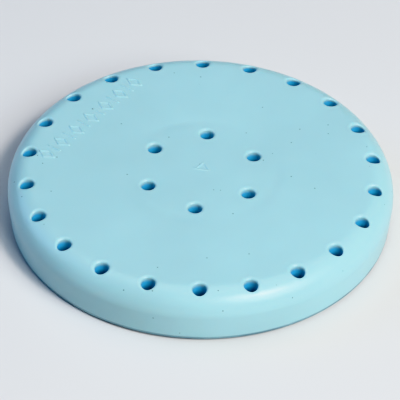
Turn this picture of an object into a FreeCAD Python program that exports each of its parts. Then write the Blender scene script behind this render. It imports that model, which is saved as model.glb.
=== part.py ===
import FreeCAD, Part
import math
import os

# Round magnetic bur block: a low, thick-walled moulded puck with 28 sockets that hold
# rotary-instrument shanks upright.  The sockets go through the moulding, and the magnet
# under it is their floor.  Millimetres, +Z up.  The origin is the centre of the
# footprint on the plane that the four rubber feet stand on.

# ---------------------------------------------------------------- dimensions
R_OUTER = 35.0          # widest radius of the body, just under the rim rounding
Z_TOP = 9.8             # flat top face above the bench
Z_BASE = 0.4            # lower edge of the body wall, the feet lift it this much
RIM_R = 4.2             # rounding between the top face and the side wall
DRAFT = 5.0             # inward lean of the side wall towards the base, degrees
EDGE_BREAK = 0.25       # small break at the lower outer edge
R_CAVITY = 33.15        # radius of the recess in the underside

SOCKET_R = 1.25         # socket bore, takes a 2.35 mm latch-type shank
MOUTH_BREAK = 0.3       # 45 degree lead-in at each socket mouth
OUTER_RING_R = 31.6     # 22 sockets
OUTER_COUNT = 22
INNER_RING_R = 10.45    # 6 sockets
INNER_COUNT = 6
INDEX_ANGLE = 24.9      # both rings have a socket on this radius, degrees from +X

POST_R = 2.4            # central stub that locates the magnet and the steel plate

Z_COVER_TOP = 1.6       # inner face of the base cover
KEEPER_T = 0.4          # steel plate
MAGNET_T = 1.2          # ferrite sheet
R_STACK = 32.85         # outside of the magnet and the steel plate
R_STACK_HOLE = 2.6      # their centre holes, over the post

COVER_R = 33.1          # base cover, inside the wall
SNAP_Z = 1.0            # mid height of the snap bead
SNAP_H = 0.5            # height of the bead at the cover's edge
SNAP_OUT = 0.2          # how far the bead stands out of the cover
SNAP_CLEAR = 0.05

FOOT_R = 4.0            # rubber feet
FOOT_RING_R = 24.0
FOOT_ANGLES = {"foot_front_right": -45.0, "foot_front_left": -135.0,
               "foot_rear_left": 135.0, "foot_rear_right": 45.0}
FOOT_SINK = 0.6         # depth of the recess in the cover
FOOT_BREAK = 0.15

MARK_H = 0.18           # raised lozenge-and-bar border on the top face
MARK_R = 25.0           # distance of its centre line from the axis
MARK_ANGLE = INDEX_ANGLE + 120.0
MARK_TALL = 3.6
MARK_WIDE = 2.3
MARK_STROKE = 0.42
MARK_PITCH = 2.2
MARK_COUNT = 13         # lozenges and bars in turn

Z_STACK = Z_COVER_TOP + KEEPER_T + MAGNET_T     # ceiling of the underside recess

V = FreeCAD.Vector
UP = V(0, 0, 1)


# ------------------------------------------------------------------- helpers
def cyl(r, z0, z1, x=0.0, y=0.0):
    return Part.makeCylinder(r, z1 - z0, V(x, y, z0), UP)


def polar(r, angle_deg):
    a = math.radians(angle_deg)
    return r * math.cos(a), r * math.sin(a)


def turned(edges):
    """A solid of revolution about Z from profile edges in the XZ plane."""
    face = Part.Face(Part.Wire(edges))
    return Part.Solid(face.revolve(V(0, 0, 0), UP, 360))


def line(p, q):
    return Part.LineSegment(V(p[0], 0, p[1]), V(q[0], 0, q[1])).toShape()


def arc(p, m, q):
    return Part.Arc(V(p[0], 0, p[1]), V(m[0], 0, m[1]), V(q[0], 0, q[1])).toShape()


def path(points):
    return [line(points[i], points[i + 1]) for i in range(len(points) - 1)]


def clean(shape):
    shape = shape.removeSplitter()
    if shape.ShapeType == "Compound" and len(shape.Solids) == 1:
        shape = shape.Solids[0]
    return shape


def sockets():
    """(x, y) of every socket."""
    for k in range(OUTER_COUNT):
        yield polar(OUTER_RING_R, INDEX_ANGLE + k * 360.0 / OUTER_COUNT)
    for k in range(INNER_COUNT):
        yield polar(INNER_RING_R, INDEX_ANGLE + k * 360.0 / INNER_COUNT)


def prism(points, z0, z1):
    wire = Part.makePolygon([V(x, y, z0) for x, y in points] + [V(points[0][0], points[0][1], z0)])
    return Part.Face(wire).extrude(V(0, 0, z1 - z0))


# ---------------------------------------------------------------- block body
def block_body():
    d = math.radians(DRAFT)
    cx, cz = R_OUTER - RIM_R, Z_TOP - RIM_R
    tx, tz = cx + RIM_R * math.cos(d), cz - RIM_R * math.sin(d)
    bx = tx - (tz - Z_BASE) * math.tan(d)
    m = math.radians(42.0)
    ex = bx + EDGE_BREAK * math.tan(d)
    g0, g1 = SNAP_Z - SNAP_H / 2 - SNAP_CLEAR, SNAP_Z + SNAP_H / 2 + SNAP_CLEAR
    gx = COVER_R + SNAP_OUT + SNAP_CLEAR
    edges = path([(0, Z_STACK), (0, Z_TOP), (cx, Z_TOP)])
    edges.append(arc((cx, Z_TOP), (cx + RIM_R * math.cos(m), cz + RIM_R * math.sin(m)), (tx, tz)))
    edges += path([(tx, tz), (ex, Z_BASE + EDGE_BREAK), (bx - EDGE_BREAK, Z_BASE),
                   (R_CAVITY, Z_BASE), (R_CAVITY, g0), (gx, g0 + 0.15), (gx, g1 - 0.15),
                   (R_CAVITY, g1), (R_CAVITY, Z_STACK), (0, Z_STACK)])
    body = turned(edges)
    body = clean(body.fuse([cyl(POST_R, Z_COVER_TOP + 0.1, Z_STACK + 0.5)] + border()))

    cuts = []
    for x, y in sockets():
        cuts.append(cyl(SOCKET_R, Z_STACK - 0.5, Z_TOP - MOUTH_BREAK + 0.01, x, y))
        cuts.append(Part.makeCone(SOCKET_R, SOCKET_R + MOUTH_BREAK + 0.5, MOUTH_BREAK + 0.5,
                                  V(x, y, Z_TOP - MOUTH_BREAK), UP))
    return clean(body.cut(cuts))


def border():
    """Raised lozenge outlines and bars along a chord of the top face."""
    ux, uy = polar(1.0, MARK_ANGLE - 90.0)      # along the chord
    vx, vy = polar(1.0, MARK_ANGLE)             # outwards
    ox, oy = polar(MARK_R, MARK_ANGLE)
    z0, z1 = Z_TOP - 0.5, Z_TOP + MARK_H

    def put(points, s):
        return [(ox + (s + a) * ux + b * vx, oy + (s + a) * uy + b * vy) for a, b in points]

    out = []
    h, w = MARK_TALL / 2, MARK_WIDE / 2
    grow = MARK_STROKE * math.hypot(h, w)
    hi, wi = h - grow / w, w - grow / h
    for i in range(MARK_COUNT):
        s = (i - (MARK_COUNT - 1) / 2) * MARK_PITCH
        if i % 2 == 0:
            ring = prism(put([(w, 0), (0, h), (-w, 0), (0, -h)], s), z0, z1)
            hole = prism(put([(wi, 0), (0, hi), (-wi, 0), (0, -hi)], s), z0 - 1, z1 + 1)
            out.append(ring.cut(hole))
        else:
            q = MARK_STROKE / 2
            out.append(prism(put([(-q, -h * 0.8), (q, -h * 0.8), (q, h * 0.8), (-q, h * 0.8)], s), z0, z1))
    return out


# ------------------------------------------------------------- inside pieces
def keeper_plate():
    z0, z1 = Z_COVER_TOP, Z_COVER_TOP + KEEPER_T
    return clean(cyl(R_STACK, z0, z1).cut(cyl(R_STACK_HOLE, z0 - 1, z1 + 1)))


def magnet_disc():
    z0, z1 = Z_COVER_TOP + KEEPER_T, Z_STACK
    return clean(cyl(R_STACK, z0, z1).cut(cyl(R_STACK_HOLE, z0 - 1, z1 + 1)))


# ---------------------------------------------------------------- base cover
def base_cover():
    b0, b1 = SNAP_Z - SNAP_H / 2, SNAP_Z + SNAP_H / 2
    bx = COVER_R + SNAP_OUT
    pts = [(0, Z_BASE), (COVER_R - 0.2, Z_BASE), (COVER_R, Z_BASE + 0.2), (COVER_R, b0),
           (bx, b0 + 0.15), (bx, b1 - 0.15), (COVER_R, b1), (COVER_R - 0.1, Z_COVER_TOP),
           (0, Z_COVER_TOP), (0, Z_BASE)]
    body = turned(path(pts))
    cuts = []
    for angle in FOOT_ANGLES.values():
        x, y = polar(FOOT_RING_R, angle)
        cuts.append(cyl(FOOT_R + 0.1, Z_BASE - 1, Z_BASE + FOOT_SINK, x, y))
    # a shallow round step and three ejector-pin marks on the underside
    cuts.append(cyl(15.0, Z_BASE - 1, Z_BASE + 0.2).cut(cyl(14.0, Z_BASE - 2, Z_BASE + 1)))
    for angle in (90.0, 210.0, 330.0):
        x, y = polar(29.5, angle)
        cuts.append(cyl(1.5, Z_BASE - 1, Z_BASE + 0.15, x, y))
    return clean(body.cut(cuts))


def foot(angle):
    z0, z1 = 0.0, Z_BASE + FOOT_SINK
    x, y = polar(FOOT_RING_R, angle)
    b = FOOT_BREAK
    low = Part.makeCone(FOOT_R - b, FOOT_R, b, V(x, y, z0), UP)
    return clean(low.fuse(cyl(FOOT_R, z0 + b, z1, x, y)))


# --------------------------------------------------------------------- write
def main():
    os.makedirs("parts", exist_ok=True)
    nodes = {"block_body": block_body(), "magnet_disc": magnet_disc(),
             "keeper_plate": keeper_plate(), "base_cover": base_cover()}
    for name, angle in FOOT_ANGLES.items():
        nodes[name] = foot(angle)
    for name, shape in nodes.items():
        b = shape.BoundBox
        print(name, shape.ShapeType, "solids", len(shape.Solids), "valid", shape.isValid(),
              "mm3 %.1f" % shape.Volume,
              "box %.2f %.2f %.2f .. %.2f %.2f %.2f" % (b.XMin, b.YMin, b.ZMin, b.XMax, b.YMax, b.ZMax))
        shape.exportStep("parts/%s.step" % name)


main()
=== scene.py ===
import math

import bpy
import numpy as np
from mathutils import Matrix, Vector
from mathutils.geometry import delaunay_2d_cdt


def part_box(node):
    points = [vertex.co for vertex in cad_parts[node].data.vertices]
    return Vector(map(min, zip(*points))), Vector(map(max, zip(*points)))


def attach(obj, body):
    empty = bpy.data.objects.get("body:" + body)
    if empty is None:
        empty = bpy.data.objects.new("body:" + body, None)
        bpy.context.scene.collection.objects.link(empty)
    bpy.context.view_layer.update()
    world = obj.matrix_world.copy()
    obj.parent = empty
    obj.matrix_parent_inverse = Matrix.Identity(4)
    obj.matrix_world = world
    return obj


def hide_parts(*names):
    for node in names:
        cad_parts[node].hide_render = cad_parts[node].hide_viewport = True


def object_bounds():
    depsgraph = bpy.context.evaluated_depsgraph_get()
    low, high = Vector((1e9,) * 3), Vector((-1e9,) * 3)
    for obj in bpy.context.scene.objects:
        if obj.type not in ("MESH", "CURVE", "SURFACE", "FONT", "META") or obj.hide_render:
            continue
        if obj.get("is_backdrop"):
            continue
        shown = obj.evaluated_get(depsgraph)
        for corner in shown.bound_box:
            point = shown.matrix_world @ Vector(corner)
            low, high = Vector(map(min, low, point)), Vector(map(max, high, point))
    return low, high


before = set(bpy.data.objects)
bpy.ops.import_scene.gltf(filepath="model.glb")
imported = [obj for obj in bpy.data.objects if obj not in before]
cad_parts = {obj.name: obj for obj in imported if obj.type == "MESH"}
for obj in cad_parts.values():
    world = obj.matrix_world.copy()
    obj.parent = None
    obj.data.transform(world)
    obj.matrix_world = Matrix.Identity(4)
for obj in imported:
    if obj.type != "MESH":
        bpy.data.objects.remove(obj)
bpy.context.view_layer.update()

# Looks of a round moulded bur block.  Meshes are worked out in millimetres and
# scaled once, when they become Blender objects, in the same frame as the CAD.
MM = 0.001

# ------------------------------------------------------------------ dimensions
R_OUTER, Z_TOP, Z_BASE = 35.0, 9.8, 0.4
RIM_R, DRAFT = 4.2, math.radians(5.0)
R_CAVITY, Z_STACK, Z_STUB, POST_R = 33.15, 3.2, 1.7, 2.4
SOCKET_R, MOUTH_R = 1.25, 0.42
OUTER_R, OUTER_N, INNER_R, INNER_N = 31.6, 22, 10.45, 6
INDEX = math.radians(24.9)
MARK_ANGLE = INDEX + math.radians(120.0)
MARK_R, MARK_TALL, MARK_WIDE, MARK_PITCH, MARK_COUNT = 25.0, 3.6, 2.3, 2.2, 13
MARK_H, MARK_HALF = 0.164, 0.21
SEG = 440                      # segments round the body
CX, CZ = R_OUTER - RIM_R, Z_TOP - RIM_R
THETA_1 = math.radians(50.0)   # the top sheet ends here, on the rim rounding
R_1 = CX + RIM_R * math.sin(THETA_1)

HOLES = np.array(
    [(OUTER_R * math.cos(INDEX + 2 * math.pi * k / OUTER_N),
      OUTER_R * math.sin(INDEX + 2 * math.pi * k / OUTER_N)) for k in range(OUTER_N)]
    + [(INNER_R * math.cos(INDEX + 2 * math.pi * k / INNER_N),
        INNER_R * math.sin(INDEX + 2 * math.pi * k / INNER_N)) for k in range(INNER_N)])


# -------------------------------------------------------------- the top surface
def mark_segments():
    """Strokes of the raised border: lozenge outlines and bars in turn, along a chord."""
    u = np.array([math.cos(MARK_ANGLE - math.pi / 2), math.sin(MARK_ANGLE - math.pi / 2)])
    v = np.array([math.cos(MARK_ANGLE), math.sin(MARK_ANGLE)])
    o = v * MARK_R
    h, w = MARK_TALL / 2 - MARK_HALF, MARK_WIDE / 2 - MARK_HALF
    segs = []
    for i in range(MARK_COUNT):
        s = (i - (MARK_COUNT - 1) / 2) * MARK_PITCH
        if i % 2 == 0:
            c = [(w, 0), (0, h), (-w, 0), (0, -h)]
            segs += [(c[k], c[(k + 1) % 4], s) for k in range(4)]
        else:
            segs.append(((0, -h * 0.8), (0, h * 0.8), s))
    out = []
    for (a0, b0), (a1, b1), s in segs:
        out.append((o + (s + a0) * u + b0 * v, o + (s + a1) * u + b1 * v))
    return out, o, u, v


SEGS, MARK_O, MARK_U, MARK_V = mark_segments()


def smooth(t):
    t = np.clip(t, 0.0, 1.0)
    return t * t * (3.0 - 2.0 * t)


def mark_height(x, y):
    """Height of the raised border at points near it."""
    d = np.full(x.shape, 9.0)
    for a, b in SEGS:
        ab = b - a
        t = np.clip(((x - a[0]) * ab[0] + (y - a[1]) * ab[1]) / (ab @ ab), 0.0, 1.0)
        d = np.minimum(d, np.hypot(x - a[0] - t * ab[0], y - a[1] - t * ab[1]))
    return MARK_H * (1.0 - smooth((d - 0.08) / 0.17))


RNG = np.random.default_rng(28)
WAVES = [(RNG.uniform(0, 2 * math.pi), RNG.uniform(0.32, 0.85), RNG.uniform(0, 2 * math.pi))
         for _ in range(9)]


def base_height(x, y, marks=True):
    """Height of the top face without the sockets' rounded mouths."""
    r = np.hypot(x, y)
    over = np.where(r - CX > 3.0, r - CX, 0.38 * np.log1p(np.exp((np.minimum(r, CX + 3.0) - CX) / 0.38)))
    over = np.clip(over, 0.0, RIM_R * 0.999)
    z = CZ + np.sqrt(RIM_R ** 2 - over ** 2)
    inside = 1.0 - smooth((r - 27.0) / 5.5)
    # shrink marks: the thick block pulls the face in round the sockets
    for i, (hx, hy) in enumerate(HOLES):
        rho2 = (x - hx) ** 2 + (y - hy) ** 2
        z = z - (0.055 if i < OUTER_N else 0.065) * np.exp(-rho2 / 2.5 ** 2)
        z = z + 0.022 * np.exp(-((np.sqrt(rho2) - 1.95) / 0.20) ** 2)
    z = z - 0.085 * inside * np.exp(-((r - 13.7) / 1.3) ** 2) * (0.6 + 0.4 * np.cos(3 * np.arctan2(y, x) + 0.7))
    w = np.zeros_like(z)
    for ang, k, ph in WAVES:
        w = w + np.sin(k * (x * math.cos(ang) + y * math.sin(ang)) + ph)
    z = z + 0.0035 * w * (0.25 + 0.75 * inside)
    # the trimmed gate, a small three-sided scar by the centre
    gx, gy = x - 0.3, y - 0.9
    tri = np.maximum.reduce([gx * math.cos(a) + gy * math.sin(a) for a in (0.4, 2.49, 4.59)])
    z = z - 0.07 * (1.0 - smooth((tri - 0.40) / 0.25)) + 0.055 * np.exp(-((tri - 0.72) / 0.14) ** 2)
    if marks:
        near = (np.abs((x - MARK_O[0]) * MARK_V[0] + (y - MARK_O[1]) * MARK_V[1]) < 2.4)
        if near.any():
            h = np.zeros_like(z)
            h[near] = mark_height(x[near], y[near])
            z = z + h
    return z


def nearest_hole(x, y):
    d = np.hypot(x[:, None] - HOLES[None, :, 0], y[:, None] - HOLES[None, :, 1])
    i = d.argmin(axis=1)
    return i, d[np.arange(len(x)), i]


def top_height(x, y):
    """(z, normal, how far down a socket's mouth) of the finished top surface."""
    e = 0.01
    z = base_height(x, y)
    gx = (base_height(x + e, y) - base_height(x - e, y)) / (2 * e)
    gy = (base_height(x, y + e) - base_height(x, y - e)) / (2 * e)
    i, rho = nearest_hole(x, y)
    t = np.clip(SOCKET_R + MOUTH_R - rho, 0.0, MOUTH_R)
    root = np.sqrt(np.maximum(MOUTH_R ** 2 - t ** 2, 1e-8))
    drop = MOUTH_R - root
    drop = np.where(t >= MOUTH_R * 0.99999, MOUTH_R, drop)
    slope = np.minimum(t / root, 200.0)
    z = z - drop
    ux, uy = (x - HOLES[i, 0]) / np.maximum(rho, 1e-9), (y - HOLES[i, 1]) / np.maximum(rho, 1e-9)
    gx, gy = gx + slope * ux, gy + slope * uy
    n = np.stack([-gx, -gy, np.ones_like(z)], -1)
    n /= np.linalg.norm(n, axis=1)[:, None]
    return z, n, drop


def top_points():
    """Plan positions of the top sheet's vertices: (points, index loops of the sockets, rim loop)."""
    rings = []
    a = np.arange(SEG) * 2 * math.pi / SEG
    rim = np.stack([R_1 * np.cos(a), R_1 * np.sin(a)], -1)

    back = []
    for k, th in enumerate(np.radians(np.arange(-8.0, 49.0, 3.0))):
        r = CX + RIM_R * math.sin(th)
        b = a + (k % 2) * math.pi / SEG
        back.append(np.stack([r * np.cos(b), r * np.sin(b)], -1))
    r, k = CX + RIM_R * math.sin(math.radians(-8.0)) - 0.5, 0
    while r > 0.4:
        step = 0.5 + 0.28 * smooth(np.array((29.5 - r) / 3.0))
        n = max(6, int(round(2 * math.pi * r / (step * 1.1))))
        b = (np.arange(n) + 0.5 * (k % 2)) * 2 * math.pi / n
        back.append(np.stack([r * np.cos(b), r * np.sin(b)], -1))
        r, k = r - float(step), k + 1
    back = np.concatenate(back)

    # fine grid for the raised border, and for the gate scar
    s = np.arange(-14.7, 14.7001, 0.10)
    t = np.arange(-2.1, 2.1001, 0.10)
    gs, gt = np.meshgrid(s, t)
    grid = MARK_O + gs.reshape(-1, 1) * MARK_U + gt.reshape(-1, 1) * MARK_V
    gs, gt = np.meshgrid(np.arange(-1.3, 1.3001, 0.10), np.arange(-1.3, 1.3001, 0.10))
    scar = np.stack([gs.ravel() + 0.3, gt.ravel() + 0.9], -1)

    outer = SOCKET_R + MOUTH_R + np.array([0.10, 0.24, 0.44, 0.72, 1.05])
    inner = SOCKET_R + MOUTH_R * (1.0 - np.cos(np.radians(np.linspace(0.0, 90.0, 10))))
    na = 44
    ba = np.arange(na) * 2 * math.pi / na
    bores, mouths = [], []
    for hx, hy in HOLES:
        for k, rho in enumerate(np.concatenate([inner, outer])):
            b = ba + (0.5 * (k % 2) * 2 * math.pi / na if k else 0.0)
            ring = np.stack([hx + rho * np.cos(b), hy + rho * np.sin(b)], -1)
            (bores if k == 0 else mouths).append(ring)

    def in_mark(p):
        q = p - MARK_O
        return (np.abs(q @ MARK_U) < 14.76) & (np.abs(q @ MARK_V) < 2.16)

    def in_scar(p):
        return (np.abs(p[:, 0] - 0.3) < 1.36) & (np.abs(p[:, 1] - 0.9) < 1.36)

    _, rho = nearest_hole(back[:, 0], back[:, 1])
    back = back[(rho > SOCKET_R + MOUTH_R + 1.30) & ~in_mark(back) & ~in_scar(back)]
    mouths = np.concatenate(mouths)
    i, rho = nearest_hole(mouths[:, 0], mouths[:, 1])
    mouths = mouths[(np.hypot(mouths[:, 0], mouths[:, 1]) < R_1 - 0.10)
                    & ~(in_mark(mouths) & (rho > SOCKET_R + MOUTH_R + 0.05))]
    _, rho = nearest_hole(grid[:, 0], grid[:, 1])
    grid = grid[rho > SOCKET_R + MOUTH_R + 0.12]

    pts = np.concatenate([rim] + bores + [mouths, grid, scar, back])
    loops, at = [], SEG
    for ring in bores:
        loops.append(np.arange(at, at + len(ring)))
        at += len(ring)
    return pts, loops, np.arange(SEG)


def triangulate(pts, loops):
    """Delaunay triangles over pts that keep every loop's edges, left out inside the sockets."""
    edges = []
    for loop in loops:
        edges += [(int(loop[k]), int(loop[(k + 1) % len(loop)])) for k in range(len(loop))]
    vs, _, fs, orig, _, _ = delaunay_2d_cdt(
        [Vector((float(x), float(y))) for x, y in pts], edges, [], 0, 1e-6)
    back = np.array([o[0] for o in orig])
    tri = back[np.array([list(f) for f in fs if len(f) == 3])]
    c = pts[tri].mean(axis=1)
    _, rho = nearest_hole(c[:, 0], c[:, 1])
    tri = tri[rho > SOCKET_R * 0.99]
    p = pts[tri]
    area = ((p[:, 1, 0] - p[:, 0, 0]) * (p[:, 2, 1] - p[:, 0, 1])
            - (p[:, 2, 0] - p[:, 0, 0]) * (p[:, 1, 1] - p[:, 0, 1]))
    tri[area < 0] = tri[area < 0][:, ::-1]
    return tri[np.abs(area) > 1e-12]


# ------------------------------------------------------------------ mesh helper
class Builder:
    """Collects vertices with their normals and a depth value, and faces."""

    def __init__(self):
        self.v, self.n, self.d, self.f, self.count = [], [], [], [], 0

    def add(self, v, n, d=None):
        v = np.asarray(v, float)
        self.v.append(v)
        self.n.append(np.asarray(n, float))
        self.d.append(np.zeros(len(v)) if d is None else np.asarray(d, float))
        ids = np.arange(self.count, self.count + len(v))
        self.count += len(v)
        return ids

    def strip(self, upper, lower):
        """Quads between two closed rings of the same count."""
        m = len(upper)
        for k in range(m):
            j = (k + 1) % m
            self.f.append((int(upper[k]), int(lower[k]), int(lower[j]), int(upper[j])))

    def fan(self, ring, centre, flip=False):
        m = len(ring)
        for k in range(m):
            j = (k + 1) % m
            self.f.append((int(ring[j]), int(ring[k]), int(centre)) if flip
                          else (int(ring[k]), int(ring[j]), int(centre)))

    def object(self, name):
        v, n, d = np.concatenate(self.v), np.concatenate(self.n), np.concatenate(self.d)
        mesh = bpy.data.meshes.new(name)
        mesh.from_pydata([tuple(p) for p in v * MM], [], self.f)
        mesh.validate()
        att = mesh.attributes.new("depth", "FLOAT", "POINT")
        att.data.foreach_set("value", d.astype(np.float32))
        mesh.polygons.foreach_set("use_smooth", [True] * len(mesh.polygons))
        mesh.normals_split_custom_set_from_vertices([tuple(p) for p in n])
        mesh.update()
        obj = bpy.data.objects.new(name, mesh)
        bpy.context.scene.collection.objects.link(obj)
        return obj


def profile_normals(prof, sharp=()):
    """Normals in the (r, z) plane for a profile walked with the solid on its right."""
    p = np.asarray(prof, float)
    out = np.zeros_like(p)
    for i in range(len(p)):
        a, b = p[max(i - 1, 0)], p[min(i + 1, len(p) - 1)]
        t = b - a
        out[i] = np.array([-t[1], t[0]]) / max(np.linalg.norm(t), 1e-12)
    return out


def rounded(points, radius, steps=4):
    """An (r, z) polyline with its inner corners rounded, so that no edge is knife sharp."""
    pts = [np.array(p, float) for p in points]
    out = [pts[0]]
    for a, b, c in zip(pts, pts[1:], pts[2:]):
        u, w = a - b, c - b
        lu, lw = np.linalg.norm(u), np.linalg.norm(w)
        u, w = u / lu, w / lw
        cosang = float(np.clip(u @ w, -1, 1))
        half = math.acos(cosang) / 2
        cut = min(radius / max(math.tan(half), 1e-6), 0.42 * lu, 0.42 * lw)
        if half > math.radians(88):
            out.append(b)
            continue
        p0, p1 = b + u * cut, b + w * cut
        for k in range(steps + 1):
            t = k / steps
            out.append((1 - t) ** 2 * p0 + 2 * t * (1 - t) * b + t * t * p1)
    out.append(pts[-1])
    return np.array(out)


def densify(prof, longest):
    out = [prof[0]]
    for a, b in zip(prof, prof[1:]):
        n = max(1, int(math.ceil(np.linalg.norm(b - a) / longest)))
        out += [a + (b - a) * (k + 1) / n for k in range(n)]
    return np.array(out)


# --------------------------------------------------------------- the block body
def make_body():
    pts, loops, rim = top_points()
    tri = triangulate(pts, loops + [rim])
    z, n, drop = top_height(pts[:, 0], pts[:, 1])
    # the rim loop lies exactly on the plain rounding, where the skirt takes over
    b = Builder()
    top = b.add(np.stack([pts[:, 0], pts[:, 1], z], -1), n, drop * 0.6)
    b.f += [tuple(int(i) for i in t) for t in tri]

    # skirt: rim rounding, drafted wall, base edge and recess wall with the snap
    # groove, as rings of one profile
    d = DRAFT
    arc = [(CX + RIM_R * math.cos(t), CZ + RIM_R * math.sin(t))
           for t in np.linspace(math.pi / 2 - THETA_1, -d, 16)]
    tz = CZ - RIM_R * math.sin(d)
    bx = arc[-1][0] - (tz - Z_BASE) * math.tan(d)
    foot = rounded([arc[-1], (bx, Z_BASE), (R_CAVITY, Z_BASE), (R_CAVITY, 0.70), (33.40, 0.85),
                    (33.40, 1.15), (R_CAVITY, 1.30), (R_CAVITY, Z_STACK), (R_CAVITY - 0.18, Z_STACK)],
                   0.15, 5)
    prof = np.concatenate([np.array(arc)[:-1], densify(foot, 0.75)])
    nr = profile_normals(prof)
    a = np.arange(SEG) * 2 * math.pi / SEG
    ca, sa = np.cos(a), np.sin(a)
    prev = top[rim]
    rim_z = z[rim]
    rng = np.random.default_rng(5)
    phases = rng.uniform(0, 2 * math.pi, 6)
    for i, ((r, zz), (qr, qz)) in enumerate(zip(prof, nr)):
        if i == 0:
            continue
        # the first rings ease the top sheet's waviness out
        ease = max(0.0, 1.0 - i / 7.0) ** 2
        off = (rim_z - prof[0][1]) * ease
        wall = 0.0
        if zz < CZ + 1 and r > R_CAVITY + 0.8:
            wall = 0.006
        dr = wall * sum(np.sin((k + 2) * a + phases[k] + 0.2 * zz) for k in range(6)) / 3
        rr = r - np.abs(dr)
        ring = b.add(np.stack([rr * ca, rr * sa, zz + off], -1),
                     np.stack([qr * ca, qr * sa, np.full(SEG, qz)], -1))
        b.strip(prev, ring)
        prev = ring
    outer = prev

    # central stub that locates the magnet
    stub = densify(rounded([(POST_R + 0.3, Z_STACK), (POST_R, Z_STACK), (POST_R, Z_STUB), (0.3, Z_STUB)],
                           0.2, 5), 0.75)
    m = 64
    a = np.arange(m) * 2 * math.pi / m
    prev = None
    for (r, zz), (qr, qz) in zip(stub, profile_normals(stub)):
        ring = b.add(np.stack([r * np.cos(a), r * np.sin(a), np.full(m, zz)], -1),
                     np.stack([qr * np.cos(a), qr * np.sin(a), np.full(m, qz)], -1))
        if prev is None:
            inner = ring
        else:
            b.strip(prev, ring)
        prev = ring
    c = b.add([(0, 0, Z_STUB)], [(0, 0, -1)])
    b.fan(prev, c[0], flip=True)

    # sockets: straight bores through the moulding, open at the recess
    na = 44
    ba = np.arange(na) * 2 * math.pi / na
    cb, sb = np.cos(ba), np.sin(ba)
    ends = []
    for k, loop in enumerate(loops):
        hx, hy = HOLES[k]
        z0 = z[loop]
        prev = top[loop]
        for t in (0.06, 0.13, 0.21, 0.30, 0.40, 0.50, 0.60, 0.70, 0.80, 0.90, 1.0):
            zz = z0 + (Z_STACK - z0) * t
            ring = b.add(np.stack([hx + SOCKET_R * cb, hy + SOCKET_R * sb, zz], -1),
                         np.stack([-cb, -sb, np.zeros(na)], -1),
                         np.maximum(Z_TOP - zz, 0))
            b.strip(ring, prev)
            prev = ring
        ends.append(prev)

    # ceiling of the recess, between the skirt, the stub and the sockets' lower ends
    ids = np.concatenate([outer, inner] + ends)
    rings = [outer, inner] + ends
    v = np.concatenate(b.v)
    spare = []
    for k, r in enumerate(np.arange(4.2, 32.4, 1.7)):
        n = max(8, int(round(2 * math.pi * r / 1.9)))
        t = (np.arange(n) + 0.5 * (k % 2)) * 2 * math.pi / n
        spare.append(np.stack([r * np.cos(t), r * np.sin(t)], -1))
    spare = np.concatenate(spare)
    _, rho = nearest_hole(spare[:, 0], spare[:, 1])
    spare = spare[(rho > SOCKET_R + 0.45) & (np.hypot(spare[:, 0], spare[:, 1]) < R_CAVITY - 1.0)]
    new = b.add(np.concatenate([spare, np.full((len(spare), 1), Z_STACK)], 1),
                np.tile((0, 0, -1.0), (len(spare), 1)))
    ids = np.concatenate([ids, new])
    flat = np.concatenate([v[np.concatenate(rings), :2], spare])
    at, local = 0, []
    for ring in rings:
        local.append(np.arange(at, at + len(ring)))
        at += len(ring)
    tri = triangulate(flat, local)
    c = flat[tri].mean(axis=1)
    tri = tri[np.hypot(c[:, 0], c[:, 1]) > POST_R + 0.1]
    b.f += [(int(ids[t[0]]), int(ids[t[2]]), int(ids[t[1]])) for t in tri]
    obj = b.object("block_body_moulding")
    return obj


def make_foot(node, x, y):
    """A rubber foot: flat underneath, rounded edge, three fine grip rings."""
    top = 1.0
    prof = [(0.25, top), (3.95, top), (4.0, top - 0.06), (4.0, 0.32)]
    prof += [(4.0 - 0.32 * (1 - math.cos(t)), 0.32 - 0.32 * math.sin(t)) for t in np.radians((22, 45, 66, 84))]
    for r in (3.2, 2.4, 1.6):
        prof += [(r + 0.14, 0.0), (r + 0.07, 0.07), (r - 0.07, 0.07), (r - 0.14, 0.0)]
    prof += [(0.25, 0.0)]
    prof = densify(np.array(prof, float), 0.5)
    nr = profile_normals(prof)
    m = 72
    a = np.arange(m) * 2 * math.pi / m
    ca, sa = np.cos(a), np.sin(a)
    b = Builder()
    prev = None
    for (r, zz), (qr, qz) in zip(prof, nr):
        ring = b.add(np.stack([x + r * ca, y + r * sa, np.full(m, zz)], -1),
                     np.stack([qr * ca, qr * sa, np.full(m, qz)], -1))
        if prev is None:
            c = b.add([(x, y, zz)], [(0, 0, 1)])
            b.fan(ring, c[0])
        else:
            b.strip(prev, ring)
        prev = ring
    c = b.add([(x, y, 0.0)], [(0, 0, -1)])
    b.fan(prev, c[0], flip=True)
    obj = b.object(node + "_rubber")
    obj.data.polygons.foreach_set("use_smooth", [True] * len(obj.data.polygons))
    return obj


# ------------------------------------------------------------------- materials
def shader(name):
    mat = bpy.data.materials.new(name)
    mat.use_nodes = True
    nt = mat.node_tree
    nt.nodes.clear()
    out = nt.nodes.new("ShaderNodeOutputMaterial")
    bsdf = nt.nodes.new("ShaderNodeBsdfPrincipled")
    nt.links.new(bsdf.outputs["BSDF"], out.inputs["Surface"])
    return mat, nt, bsdf


def node(nt, kind, **props):
    nd = nt.nodes.new(kind)
    for key, value in props.items():
        setattr(nd, key, value)
    return nd


def math_node(nt, op, a, b=None, clamp=False):
    nd = node(nt, "ShaderNodeMath", operation=op, use_clamp=clamp)
    for i, value in enumerate((a, b)):
        if value is None:
            continue
        if isinstance(value, (int, float)):
            nd.inputs[i].default_value = value
        else:
            nt.links.new(value, nd.inputs[i])
    return nd.outputs[0]


def noise(nt, vec, scale, detail=3.0, rough=0.5):
    nd = node(nt, "ShaderNodeTexNoise")
    nd.inputs["Scale"].default_value = scale
    nd.inputs["Detail"].default_value = detail
    nd.inputs["Roughness"].default_value = rough
    nt.links.new(vec, nd.inputs["Vector"])
    return nd.outputs["Fac"]


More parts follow.
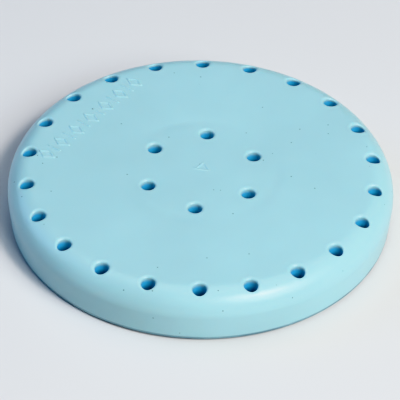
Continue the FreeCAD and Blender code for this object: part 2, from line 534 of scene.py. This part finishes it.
def mix_colour(nt, fac, a, b, blend="MIX"):
    nd = node(nt, "ShaderNodeMix", data_type="RGBA", blend_type=blend)
    for sock, value in ((nd.inputs[0], fac), (nd.inputs[6], a), (nd.inputs[7], b)):
        if isinstance(value, (int, float)):
            sock.default_value = value
        elif isinstance(value, tuple):
            sock.default_value = (*value, 1.0)
        else:
            nt.links.new(value, sock)
    return nd.outputs[2]


def ramp(nt, fac, stops):
    nd = node(nt, "ShaderNodeValToRGB")
    el = nd.color_ramp.elements
    while len(el) > 1:
        el.remove(el[-1])
    for i, (pos, col) in enumerate(stops):
        e = el[0] if i == 0 else el.new(pos)
        e.position = pos
        e.color = (*col, 1.0) if isinstance(col, tuple) else (col, col, col, 1.0)
    nt.links.new(fac, nd.inputs[0])
    return nd.outputs[0]


def moulded_blue(name, base, socket_shade, rough, grain):
    """Pigmented polypropylene: soft gloss, faint flow mottling, dust specks, fine
    orange peel; painted shade turns the sockets saturated blue and then darker with depth,
    and a painted shadow line runs along the lower edge."""
    mat, nt, bsdf = shader(name)
    tc = node(nt, "ShaderNodeTexCoord")
    obj = tc.outputs["Object"]

    flow = noise(nt, obj, 55.0, 2.0)
    fine = noise(nt, obj, 420.0, 4.0, 0.6)
    shade = ramp(nt, flow, [(0.30, tuple(c * 0.955 for c in base)), (0.72, tuple(min(c * 1.03, 1) for c in base))])
    shade = mix_colour(nt, math_node(nt, "MULTIPLY", fine, 0.10), shade, tuple(c * 0.86 for c in base))

    vor = node(nt, "ShaderNodeTexVoronoi", feature="F1")
    vor.inputs["Scale"].default_value = 420.0
    nt.links.new(obj, vor.inputs["Vector"])
    near = math_node(nt, "LESS_THAN", vor.outputs["Distance"], 0.058)
    sep = node(nt, "ShaderNodeSeparateColor")
    nt.links.new(vor.outputs["Color"], sep.inputs[0])
    some = math_node(nt, "GREATER_THAN", sep.outputs[0], 0.40)
    speck = math_node(nt, "MULTIPLY", near, some)
    shade = mix_colour(nt, math_node(nt, "MULTIPLY", speck, 0.75), shade, (0.06, 0.16, 0.18))

    # painted shadow: a thin dark line kept along the lower edge, where the gap under the wall is in shade
    xyz = node(nt, "ShaderNodeSeparateXYZ")
    nt.links.new(obj, xyz.inputs[0])
    low = node(nt, "ShaderNodeMapRange", interpolation_type="SMOOTHSTEP")
    low.inputs["From Min"].default_value = 0.00105
    low.inputs["From Max"].default_value = 0.00074
    nt.links.new(xyz.outputs[2], low.inputs["Value"])
    radius = node(nt, "ShaderNodeVectorMath", operation="LENGTH")
    flat = node(nt, "ShaderNodeVectorMath", operation="MULTIPLY")
    flat.inputs[1].default_value = (1.0, 1.0, 0.0)
    nt.links.new(obj, flat.inputs[0])
    nt.links.new(flat.outputs["Vector"], radius.inputs[0])
    edge = math_node(nt, "GREATER_THAN", radius.outputs["Value"], 0.0340)
    base_shadow_line = math_node(nt, "MULTIPLY", low.outputs[0], math_node(nt, "ADD", noise(nt, obj, 160.0, 2.0), 0.15, True))
    base_shadow_line = math_node(nt, "MULTIPLY", base_shadow_line, edge)
    # paints the dark shadow line along the lower edge into the colour
    shade = mix_colour(nt, base_shadow_line, shade, (0.06, 0.14, 0.20))

    # painted shade: the socket walls turn saturated blue and then dark navy with depth, standing in for shade and
    # coloured bounce light down the bores
    att = node(nt, "ShaderNodeAttribute", attribute_name="depth", attribute_type="GEOMETRY")
    depth = att.outputs["Fac"]
    down = node(nt, "ShaderNodeMapRange", interpolation_type="SMOOTHSTEP")
    down.inputs["From Min"].default_value = 0.30
    down.inputs["From Max"].default_value = 1.35
    nt.links.new(depth, down.inputs["Value"])
    colour = mix_colour(nt, down.outputs[0], shade, socket_shade)
    socket_dark_shade = node(nt, "ShaderNodeMapRange", interpolation_type="SMOOTHSTEP")
    socket_dark_shade.inputs["From Min"].default_value = 1.5
    socket_dark_shade.inputs["From Max"].default_value = 2.9
    nt.links.new(depth, socket_dark_shade.inputs["Value"])
    colour = mix_colour(nt, socket_dark_shade.outputs[0], colour, (0.010, 0.110, 0.300))
    nt.links.new(colour, bsdf.inputs["Base Color"])

    gloss = math_node(nt, "MULTIPLY_ADD", noise(nt, obj, 130.0, 3.0), 0.05)
    gloss.node.inputs[2].default_value = rough + 0.025
    nt.links.new(gloss, bsdf.inputs["Roughness"])

    peel = noise(nt, obj, 1500.0, 3.0, 0.55)
    height = math_node(nt, "MULTIPLY", peel, grain)
    bump = node(nt, "ShaderNodeBump")
    bump.inputs["Strength"].default_value = 0.35
    bump.inputs["Distance"].default_value = 0.00002
    nt.links.new(height, bump.inputs["Height"])
    nt.links.new(bump.outputs[0], bsdf.inputs["Normal"])

    bsdf.inputs["IOR"].default_value = 1.49
    bsdf.inputs["Subsurface Weight"].default_value = 0.30
    bsdf.inputs["Subsurface Radius"].default_value = (0.35, 0.8, 1.0)
    bsdf.inputs["Subsurface Scale"].default_value = 0.0009
    return mat


def rubber(name):
    mat, nt, bsdf = shader(name)
    obj = node(nt, "ShaderNodeTexCoord").outputs["Object"]
    n1 = noise(nt, obj, 900.0, 5.0, 0.65)
    nt.links.new(ramp(nt, n1, [(0.35, (0.018, 0.018, 0.020)), (0.70, (0.045, 0.046, 0.050))]), bsdf.inputs["Base Color"])
    nt.links.new(ramp(nt, n1, [(0.3, 0.62), (0.7, 0.86)]), bsdf.inputs["Roughness"])
    bump = node(nt, "ShaderNodeBump")
    bump.inputs["Strength"].default_value = 0.5
    bump.inputs["Distance"].default_value = 0.00003
    nt.links.new(noise(nt, obj, 3200.0, 3.0), bump.inputs["Height"])
    nt.links.new(bump.outputs[0], bsdf.inputs["Normal"])
    bsdf.inputs["Specular IOR Level"].default_value = 0.35
    return mat


def ferrite(name):
    mat, nt, bsdf = shader(name)
    obj = node(nt, "ShaderNodeTexCoord").outputs["Object"]
    n1 = noise(nt, obj, 2600.0, 4.0, 0.7)
    nt.links.new(ramp(nt, n1, [(0.35, (0.030, 0.022, 0.018)), (0.66, (0.075, 0.058, 0.048))]), bsdf.inputs["Base Color"])
    nt.links.new(ramp(nt, noise(nt, obj, 300.0), [(0.3, 0.50), (0.7, 0.72)]), bsdf.inputs["Roughness"])
    bump = node(nt, "ShaderNodeBump")
    bump.inputs["Strength"].default_value = 0.4
    bump.inputs["Distance"].default_value = 0.00002
    nt.links.new(n1, bump.inputs["Height"])
    nt.links.new(bump.outputs[0], bsdf.inputs["Normal"])
    return mat


def zinc_steel(name):
    mat, nt, bsdf = shader(name)
    obj = node(nt, "ShaderNodeTexCoord").outputs["Object"]
    mp = node(nt, "ShaderNodeMapping")
    mp.inputs["Scale"].default_value = (60.0, 2400.0, 60.0)
    nt.links.new(obj, mp.inputs["Vector"])
    line = noise(nt, mp.outputs[0], 1.0, 3.0)
    spangle = noise(nt, obj, 240.0, 2.0)
    nt.links.new(ramp(nt, spangle, [(0.35, (0.50, 0.51, 0.52)), (0.65, (0.62, 0.63, 0.64))]), bsdf.inputs["Base Color"])
    nt.links.new(ramp(nt, line, [(0.3, 0.26), (0.7, 0.44)]), bsdf.inputs["Roughness"])
    bsdf.inputs["Metallic"].default_value = 1.0
    bump = node(nt, "ShaderNodeBump")
    bump.inputs["Strength"].default_value = 0.25
    bump.inputs["Distance"].default_value = 0.00001
    nt.links.new(line, bump.inputs["Height"])
    nt.links.new(bump.outputs[0], bsdf.inputs["Normal"])
    return mat


BLUE = (0.350, 0.602, 0.650)
# painted shade colour for the sockets, standing in for their shade and coloured bounce light
SOCKET_SHADE_BLUE = (0.060, 0.400, 0.680)
body_mat = moulded_blue("light_blue_moulding", BLUE, SOCKET_SHADE_BLUE, 0.26, 1.0)
cover_mat = moulded_blue("light_blue_cover", tuple(c * 0.95 for c in BLUE), SOCKET_SHADE_BLUE, 0.46, 2.4)
foot_mat = rubber("foot_rubber")
magnet_mat = ferrite("bonded_ferrite")
steel_mat = zinc_steel("zinc_plated_steel")


def paint(obj, mat):
    if not obj.material_slots:
        obj.data.materials.append(mat)
    for s in obj.material_slots:
        s.material = mat


# --------------------------------------------------------------------- pieces
body = make_body()
paint(body, body_mat)
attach(body, "root")
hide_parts("block_body")

for name in ("foot_front_left", "foot_front_right", "foot_rear_left", "foot_rear_right"):
    lo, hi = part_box(name)
    foot = make_foot(name, (lo[0] + hi[0]) / 2 / MM, (lo[1] + hi[1]) / 2 / MM)
    paint(foot, foot_mat)
    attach(foot, "root")
    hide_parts(name)

paint(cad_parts["base_cover"], cover_mat)
paint(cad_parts["magnet_disc"], magnet_mat)
paint(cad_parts["keeper_plate"], steel_mat)

# ----------------------------------------------------------------------- stage
mesh = bpy.data.meshes.new("floor")
mesh.from_pydata([(x, y, -0.00005) for x, y in ((-3, -3), (3, -3), (3, 3), (-3, 3))], [], [(0, 1, 2, 3)])
floor = bpy.data.objects.new("floor", mesh)
bpy.context.scene.collection.objects.link(floor)
floor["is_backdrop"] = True
mat = bpy.data.materials.new("studio_floor")
mat.use_nodes = True
nt = mat.node_tree
nt.nodes.clear()
out = nt.nodes.new("ShaderNodeOutputMaterial")
dif = nt.nodes.new("ShaderNodeBsdfDiffuse")
dif.inputs["Color"].default_value = (0.64, 0.64, 0.64, 1)
nt.links.new(dif.outputs[0], out.inputs["Surface"])
mesh.materials.append(mat)


def area_light(name, azimuth, elevation, distance, size, power, colour=(1, 1, 1), aim=(0, 0, 0.005)):
    """azimuth in degrees from +X, anticlockwise."""
    data = bpy.data.lights.new(name, "AREA")
    data.shape = "DISK"
    data.size = size
    data.energy = power
    data.color = colour
    obj = bpy.data.objects.new(name, data)
    a, e = math.radians(azimuth), math.radians(elevation)
    obj.location = Vector(aim) + distance * Vector((math.cos(a) * math.cos(e), math.sin(a) * math.cos(e), math.sin(e)))
    obj.rotation_mode = "QUATERNION"
    obj.rotation_quaternion = (obj.location - Vector(aim)).to_track_quat("Z", "Y")
    bpy.context.scene.collection.objects.link(obj)
    return obj


# name, azimuth, elevation, distance, size, power, colour
LIGHTS = [
    ("key", -47.0, 42.0, 1.0, 0.70, 10.4, (0.90, 0.98, 1.0)),
    ("strip", -46.0, 51.0, 1.0, 0.18, 4.8, (1.0, 0.86, 0.78)),
    ("left_fill", 158.0, 32.0, 1.2, 0.90, 5.4, (0.34, 0.62, 1.0)),
    ("top_fill", 95.0, 75.0, 1.1, 0.90, 3.2, (1.0, 0.90, 0.76)),
]
for args in LIGHTS:
    area_light(*args)
SKY, SKY_COLOUR = 0.055, (0.06, 0.34, 1.0)

world = bpy.data.worlds.new("studio")
world.use_nodes = True
bg = world.node_tree.nodes["Background"]
bg.inputs["Color"].default_value = (*SKY_COLOUR, 1)
bg.inputs["Strength"].default_value = SKY
bpy.context.scene.world = world
bpy.context.scene.view_settings.view_transform = "Khronos PBR Neutral"

# ---------------------------------------------------------------------- camera
el, roll = math.radians(40.562), math.radians(1.33)
target = Vector((-0.06, -8.18, Z_TOP)) * MM
back = Vector((0.0, -math.cos(el), math.sin(el)))
right = Vector((1.0, 0.0, 0.0))
up = right.cross(-back)
r2 = right * math.cos(roll) + up * math.sin(roll)
u2 = -right * math.sin(roll) + up * math.cos(roll)
cam_data = bpy.data.cameras.new("camera")
cam_data.sensor_width = 36.0
cam_data.lens = 272.1
cam_data.clip_start, cam_data.clip_end = 0.05, 10.0
cam = bpy.data.objects.new("camera", cam_data)
cam.rotation_mode = "QUATERNION"
cam.rotation_quaternion = Matrix((r2, u2, back)).transposed().to_quaternion()
cam.location = target + back * 0.5405 - u2 * 0.00009
bpy.context.scene.collection.objects.link(cam)
bpy.context.scene.camera = cam

# ------------------------------------------------------------------------ size
bpy.context.view_layer.update()
lo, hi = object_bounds()
